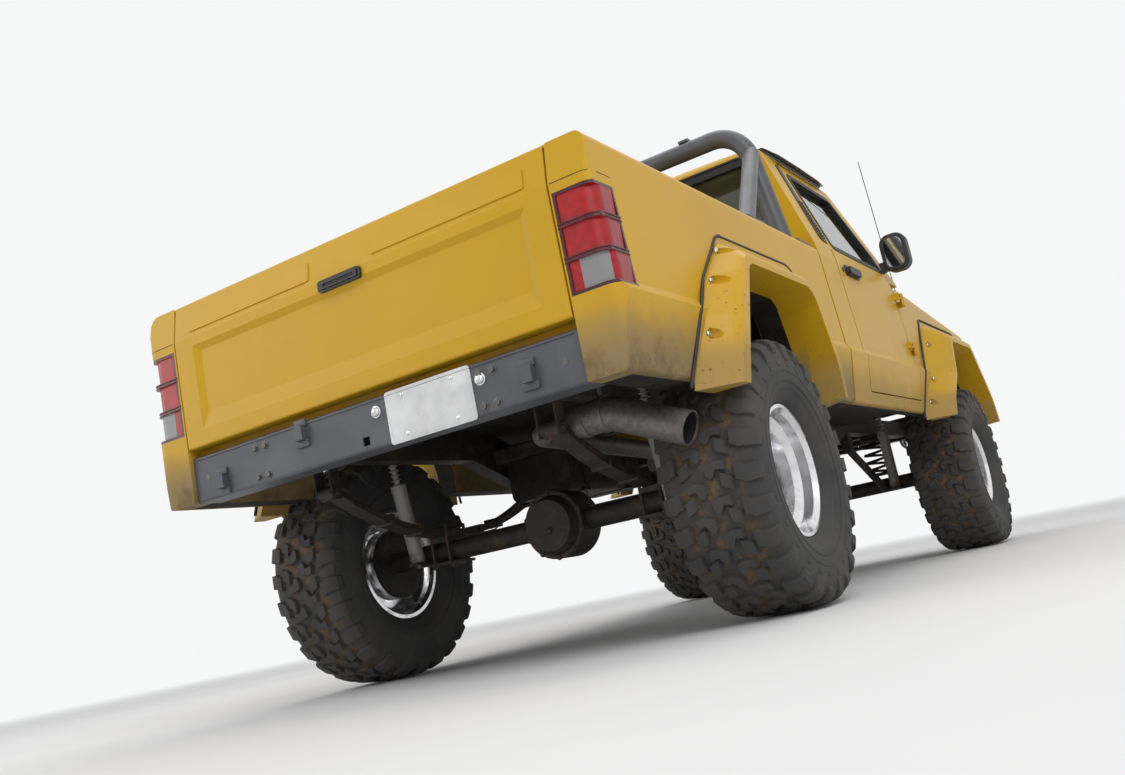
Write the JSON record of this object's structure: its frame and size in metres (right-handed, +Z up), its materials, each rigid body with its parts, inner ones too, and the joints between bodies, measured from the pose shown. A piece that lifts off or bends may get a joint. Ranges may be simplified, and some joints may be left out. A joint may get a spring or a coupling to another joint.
{
  "type": "lifted off-road pickup truck",
  "caption": "Lifted regular-cab short-bed 4x4 pickup with cut-out flares, mud tyres on alloy wheels, bed roll bar, opening doors, hood and tailgate.",
  "frame": {"origin": "on the ground under the middle of the bounding box", "axes": "+X towards the vehicle's left, +Y towards its rear along its length, +Z up"},
  "size_m": [1.98, 4.492, 2.128],
  "materials": {
    "body_paint": "gloss yellow paint",
    "flare_paint": "gloss yellow paint on plastic flares",
    "glass": "tinted window glass",
    "lamp_red": "red lamp lens",
    "lamp_clear": "clear lamp lens",
    "bumper_grey": "satin dark grey",
    "black_plastic": "black plastic",
    "plate": "blank white plate",
    "chassis": "black chassis paint with mud",
    "cast": "dirty cast iron",
    "spring_steel": "dirty spring steel",
    "shock_grey": "light grey damper",
    "exhaust_steel": "dull exhaust steel",
    "seat_fabric": "dark grey seat cloth",
    "tyre_rubber": "muddy tyre rubber",
    "wheel_alloy": "polished aluminium"
  },
  "bodies": {
    "truck": {"cab_shell": "body_paint", "front_fenders": "body_paint", "bed_sides": "body_paint", "bed_floor": "body_paint", "front_flares": "flare_paint", "rear_flares": "flare_paint", "cab_glass": "glass", "tail_lamps": "lamp_red", "headlamps": "lamp_clear", "rear_bumper": "bumper_grey", "front_bumper": "bumper_grey", "roll_bar": "bumper_grey", "front_panel": "black_plastic", "number_plate": "plate", "frame_rails": "chassis", "front_axle": "chassis", "rear_axle": "chassis", "control_arms": "chassis", "fuel_tank": "chassis", "drivetrain": "cast", "leaf_springs": "spring_steel", "coil_springs": "spring_steel", "shocks": "shock_grey", "exhaust": "exhaust_steel", "seat": "seat_fabric", "dashboard": "black_plastic", "antenna": "black_plastic"},
    "door_left": {"door_left": "body_paint", "door_glass_left": "glass", "door_trim_left": "black_plastic"},
    "door_right": {"door_right": "body_paint", "door_glass_right": "glass", "door_trim_right": "black_plastic"},
    "hood": {"hood": "body_paint"},
    "tailgate": {"tailgate": "body_paint", "tailgate_handle": "black_plastic"},
    "knuckle_left": {"knuckle_left": "cast"},
    "knuckle_right": {"knuckle_right": "cast"},
    "tie_rod": {"tie_rod": "spring_steel"},
    "wheel_front_left": {"tyre_front_left": "tyre_rubber", "rim_front_left": "wheel_alloy"},
    "wheel_front_right": {"tyre_front_right": "tyre_rubber", "rim_front_right": "wheel_alloy"},
    "wheel_rear_left": {"tyre_rear_left": "tyre_rubber", "rim_rear_left": "wheel_alloy"},
    "wheel_rear_right": {"tyre_rear_right": "tyre_rubber", "rim_rear_right": "wheel_alloy"}
  },
  "joints": [
    {"name": "steer_left", "type": "hinge", "parent": "truck", "child": "knuckle_left", "pos_m": [0.655, -1.502, 0.419], "axis": [0, 0, 1], "range_deg": [-30, 30]},
    {"name": "steer_right", "type": "hinge", "parent": "truck", "child": "knuckle_right", "pos_m": [-0.655, -1.502, 0.419], "axis": [0, 0, 1], "range_deg": [-30, 30]},
    {"name": "tie_rod_pivot", "type": "hinge", "parent": "knuckle_left", "child": "tie_rod", "pos_m": [0.655, -1.697, 0.4], "axis": [0, 0, 1], "range_deg": [-30, 30]},
    {"name": "door_left_hinge", "type": "hinge", "parent": "truck", "child": "door_left", "pos_m": [0.893, -0.756, 1.1], "axis": [0, 0, -1], "range_deg": [0, 65]},
    {"name": "door_right_hinge", "type": "hinge", "parent": "truck", "child": "door_right", "pos_m": [-0.893, -0.756, 1.1], "axis": [0, 0, 1], "range_deg": [0, 65]},
    {"name": "hood_hinge", "type": "hinge", "parent": "truck", "child": "hood", "pos_m": [0, -0.918, 1.332], "axis": [-1, 0, 0], "range_deg": [0, 50]},
    {"name": "tailgate_hinge", "type": "hinge", "parent": "truck", "child": "tailgate", "pos_m": [0, 2.205, 0.88], "axis": [-1, 0, 0], "range_deg": [0, 90]},
    {"name": "wheel_front_left_spin", "type": "hinge", "parent": "knuckle_left", "child": "wheel_front_left", "pos_m": [0.796, -1.502, 0.419], "axis": [1, 0, 0], "continuous": true},
    {"name": "wheel_front_right_spin", "type": "hinge", "parent": "knuckle_right", "child": "wheel_front_right", "pos_m": [-0.796, -1.502, 0.419], "axis": [1, 0, 0], "continuous": true},
    {"name": "wheel_rear_left_spin", "type": "hinge", "parent": "truck", "child": "wheel_rear_left", "pos_m": [0.796, 1.368, 0.419], "axis": [1, 0, 0], "continuous": true},
    {"name": "wheel_rear_right_spin", "type": "hinge", "parent": "truck", "child": "wheel_rear_right", "pos_m": [-0.796, 1.368, 0.419], "axis": [1, 0, 0], "continuous": true}
  ],
  "couplings": [
    {"joint": "steer_right", "follows": "steer_left", "ratio": 1},
    {"joint": "tie_rod_pivot", "follows": "steer_left", "ratio": -1}
  ]
}
